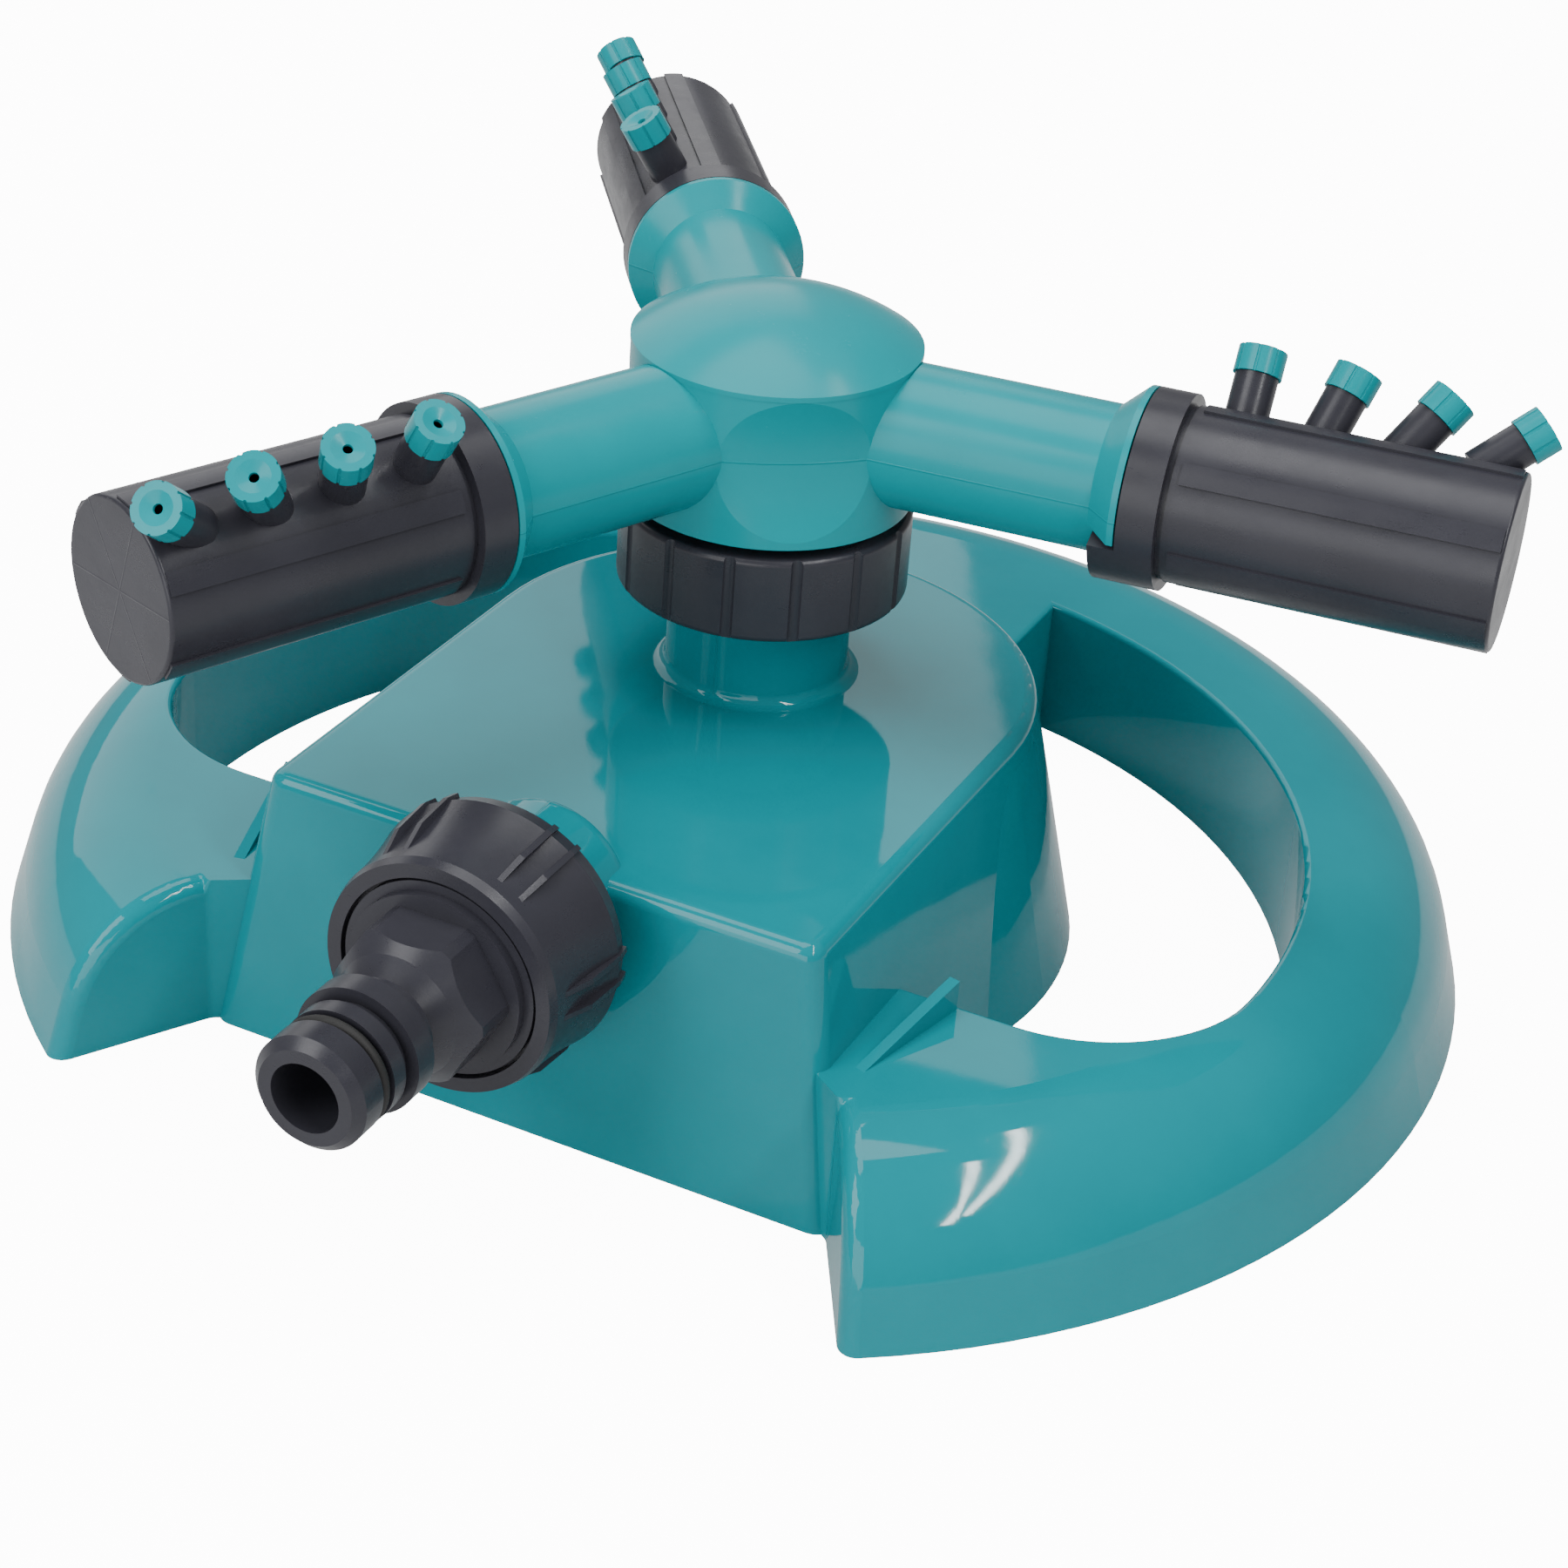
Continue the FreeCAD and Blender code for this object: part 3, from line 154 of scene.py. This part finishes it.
def barrel_marks(letter):
    """The flow lines that meet in the middle of a barrel's closed end."""
    axis = Vector(JOINTS[f"barrel_{letter}_tilt"]["axis"])
    level = UP.cross(axis)

    def marks(shader):
        height = 0.0
        for turn in FLOW_LINE_TURNS:
            angle = math.radians(turn)
            across = math.cos(angle) * level + math.sin(angle) * UP
            offset = shader.along(across, across.z * ARM_HEIGHT)
            height = shader.math("MAXIMUM", height, shader.line(offset, MARK_WIDTH))
        return shader.math("MULTIPLY", height, shader.beyond(shader.along(axis, BARREL_END)))

    return marks


# ---------------------------------------------------------------- finishes

# noise scales, in waves per metre, from the slowest colour drift to the finest grain
FLOW_SCALE = 14
DRIFT_SCALE = 38
RIPPLE_SCALE = 70
SMEAR_SCALE = 90
SPECK_SCALE = 900
GRAIN_SCALE = 2600
DRIFT_SHARE = 0.6
COLOUR_SPAN = (0.32, 0.68)
SPECK_SPAN = (0.62, 0.75)
PLASTIC_IOR = 1.49


def moulded_plastic(name, dark, light, rough, grain, wave, dust=0.0, specular=0.5, marks=None):
    """Injection-moulded plastic: soft colour drift, uneven gloss, fine grain and flow waves.
    grain and wave are heights, dust is how much specks dull the gloss, and marks draws the
    mould's own lines as a height on the shader."""
    shader = Shader(name)
    drift = shader.noise(DRIFT_SCALE, 5, 0.6)
    flow = shader.noise(FLOW_SCALE, 3, 0.5, stretch=(1.0, 2.2, 1.0), shift=(0.3, 0.1, 0.7))
    mixed = shader.math("ADD", shader.math("MULTIPLY", drift, DRIFT_SHARE),
                        shader.math("MULTIPLY", flow, 1 - DRIFT_SHARE))
    colour = shader.ramp(mixed, list(zip(COLOUR_SPAN, (dark, light))))
    smear = shader.noise(SMEAR_SCALE, 6, 0.7, stretch=(1.0, 1.0, 2.5), shift=(0.9, 0.4, 0.2))
    specks = shader.noise(SPECK_SCALE, 2, 0.5, shift=(0.1, 0.8, 0.3))
    gloss = shader.math("ADD", shader.remap(smear, *rough),
                        shader.remap(specks, 0.0, dust, *SPECK_SPAN))
    waves = shader.noise(RIPPLE_SCALE, 2, 0.4, shift=(0.5, 0.2, 0.9))
    surface = shader.bump(waves, wave)
    if marks is not None:
        surface = shader.bump(marks(shader), MARK_HEIGHT, before=surface)
    texture = shader.noise(GRAIN_SCALE, 3, 0.6, shift=(0.2, 0.6, 0.4))
    surface = shader.bump(texture, grain, before=surface)
    shader.set(Base_Color=colour, Roughness=gloss, Normal=surface, IOR=PLASTIC_IOR,
               Specular_IOR_Level=specular)
    return shader.material


TEAL_SHELL = moulded_plastic("teal_shell", (0.0, 0.17, 0.203), (0.0, 0.20, 0.235), (0.03, 0.065),
                             grain=1.2e-6, wave=3.0e-5, dust=0.03, specular=0.28,
                             marks=riser_marks)
TEAL_ROTOR = moulded_plastic("teal_rotor", (0.0, 0.215, 0.245), (0.0, 0.25, 0.282), (0.18, 0.28),
                             grain=6.0e-6, wave=2.0e-5, dust=0.03, specular=0.16,
                             marks=hub_marks)


def black_plastic(name, marks=None):
    """Dark plastic with a faint blue cast and a soft gloss."""
    return moulded_plastic(name, (0.020, 0.020, 0.026), (0.030, 0.030, 0.039), (0.24, 0.38),
                           grain=9.0e-6, wave=2.0e-5, dust=0.04, specular=0.3, marks=marks)


BLACK = black_plastic("black_plastic")
BARRELS = {f"barrel_{letter}": black_plastic(f"black_barrel_{letter}", barrel_marks(letter))
           for letter in "abc"}
RUBBER = moulded_plastic("seal_rubber", (0.010, 0.010, 0.010), (0.022, 0.022, 0.022),
                         (0.55, 0.75), grain=1.2e-5, wave=1.0e-5, dust=0.1, specular=0.35)
NYLON = moulded_plastic("washer_plastic", (0.62, 0.61, 0.57), (0.74, 0.73, 0.69), (0.35, 0.5),
                        grain=6.0e-6, wave=1.0e-5)


def spring_steel():
    """Drawn wire, with fine scratches along it."""
    shader = Shader("spring_steel")
    brushed = shader.noise(260, 6, 0.7, stretch=(1, 1, 12))
    colour = shader.ramp(brushed, [(0.3, (0.42, 0.42, 0.43)), (0.7, (0.62, 0.62, 0.63))])
    shader.set(Base_Color=colour, Metallic=1.0, Roughness=shader.remap(brushed, 0.22, 0.4),
               Normal=shader.bump(brushed, 6.0e-6))
    return shader.material


STEEL = spring_steel()

BY_SLOT = {"teal_shell": TEAL_SHELL, "teal_rotor": TEAL_ROTOR, "black_plastic": BLACK,
           "seal_rubber": RUBBER, "washer_plastic": NYLON, "spring_steel": STEEL}


def dress_nodes():
    """Every CAD node takes the finish of its material slot, and each barrel its own marks."""
    for part in frame["record"]["subparts"]:
        thing = NODES[part["node"]]
        thing.data.materials.clear()
        finish = BARRELS.get(part["node"], BY_SLOT[part["material_slot"]])
        thing.data.materials.append(finish)


dress_nodes()


# ---------------------------------------------------------------- studio

MIDDLE = Vector((0, 0, 0.05))
LIGHT_REACH = 1.5
AIR = 0.3
FLOOR_SIZE = 8.0
FLOOR_DROP = 0.1 * MM
FLOOR_GREYS = (0.55, 0.6)
FLOOR_GLOW = 12.0
# name, bearing and height in degrees, size in metres, brightness
PANELS = (("key_front", -150, 40, (0.8, 0.8), 6.8),
          ("fill_low", 175, 14, (1.4, 0.7), 3.5),
          ("key_above", -60, 80, (0.9, 0.9), 5.0),
          ("backdrop", -50, 30, (1.5, 1.0), 1.5))
STRIPS = {"strip_near": ((120, 33), (78, 67)), "strip_far": ((115, 37), (28, 66))}
STRIP_WIDTH = 0.03
STRIP_RADIANCE = 60.0


def floor():
    """A plain pale floor. Its glow is only seen, and lights nothing."""
    bpy.ops.mesh.primitive_plane_add(size=FLOOR_SIZE, location=(0, 0, -FLOOR_DROP))
    plane = bpy.context.object
    plane.name = "studio_floor"
    shader = Shader("studio_floor")
    tone = shader.noise(3, 3, 0.5)
    seen = shader.tree.nodes.new("ShaderNodeLightPath").outputs["Is Camera Ray"]
    greys = [(place, (grey,) * 3) for place, grey in zip((0.3, 0.7), FLOOR_GREYS)]
    shader.set(Base_Color=shader.ramp(tone, greys),
               Roughness=shader.remap(tone, 0.55, 0.7), Specular_IOR_Level=0.2,
               Emission_Color=WHITE,
               Emission_Strength=shader.math("MULTIPLY", seen, FLOOR_GLOW))
    plane.data.materials.append(shader.material)


def compass(bearing, height, distance):
    """The place at a bearing (0 along +Y, 90 along +X) and a height, both in degrees."""
    turn, tilt = math.radians(bearing), math.radians(height)
    level = distance * math.cos(tilt)
    return Vector((level * math.sin(turn), level * math.cos(turn), distance * math.sin(tilt)))


def panel(name, place, size, radiance, lengthwise=None):
    """A rectangular light facing the part, its long side along lengthwise."""
    data = bpy.data.lights.new(name, "AREA")
    data.shape = "RECTANGLE"
    data.size, data.size_y = size
    data.energy = radiance * math.pi * size[0] * size[1]
    lamp = bpy.data.objects.new(name, data)
    bpy.context.collection.objects.link(lamp)
    back = (place - MIDDLE).normalized()
    side = UP.cross(back) if lengthwise is None else lengthwise
    side = (side - side.dot(back) * back).normalized()
    turned = Matrix((side, back.cross(side), back)).transposed().to_4x4()
    lamp.matrix_world = Matrix.Translation(place) @ turned


def strip(name, start, stop, width, radiance):
    """A narrow light between two places."""
    panel(name, (start + stop) / 2, ((stop - start).length, width), radiance, stop - start)


def studio():
    """Even air light, four soft panels and two thin strips that draw the bright streaks."""
    world = bpy.data.worlds.new("studio_air")
    bpy.context.scene.world = world
    world.use_nodes = True
    background = world.node_tree.nodes["Background"]
    background.inputs["Color"].default_value = WHITE
    background.inputs["Strength"].default_value = AIR
    for name, bearing, height, size, radiance in PANELS:
        panel(name, compass(bearing, height, LIGHT_REACH), size, radiance)
    for name, (start, stop) in STRIPS.items():
        ends = (compass(*place, LIGHT_REACH) for place in (start, stop))
        strip(name, *ends, STRIP_WIDTH, STRIP_RADIANCE)
    floor()


studio()


# ---------------------------------------------------------------- camera

CAMERA_AZIMUTH = 24.377
CAMERA_ELEVATION = 30.432
CAMERA_ROLL = 4.323
CAMERA_LENS = 78.204
CAMERA_SENSOR = 36.0
CAMERA_PLACE = (0.1844, -0.3937, 0.2751)


def camera():
    azimuth, elevation, roll = (math.radians(angle) for angle in
                                (CAMERA_AZIMUTH, CAMERA_ELEVATION, CAMERA_ROLL))
    back = Vector((math.sin(azimuth) * math.cos(elevation),
                   -math.cos(azimuth) * math.cos(elevation), math.sin(elevation)))
    level = Vector((math.cos(azimuth), math.sin(azimuth), 0))
    rise = back.cross(level)
    right = math.cos(roll) * level + math.sin(roll) * rise
    up = math.cos(roll) * rise - math.sin(roll) * level
    data = bpy.data.cameras.new("camera")
    data.sensor_width = CAMERA_SENSOR
    data.lens = CAMERA_LENS
    thing = bpy.data.objects.new("camera", data)
    bpy.context.collection.objects.link(thing)
    turned = Matrix((right, up, back)).transposed().to_4x4()
    thing.matrix_world = Matrix.Translation(CAMERA_PLACE) @ turned
    bpy.context.scene.camera = thing


camera()
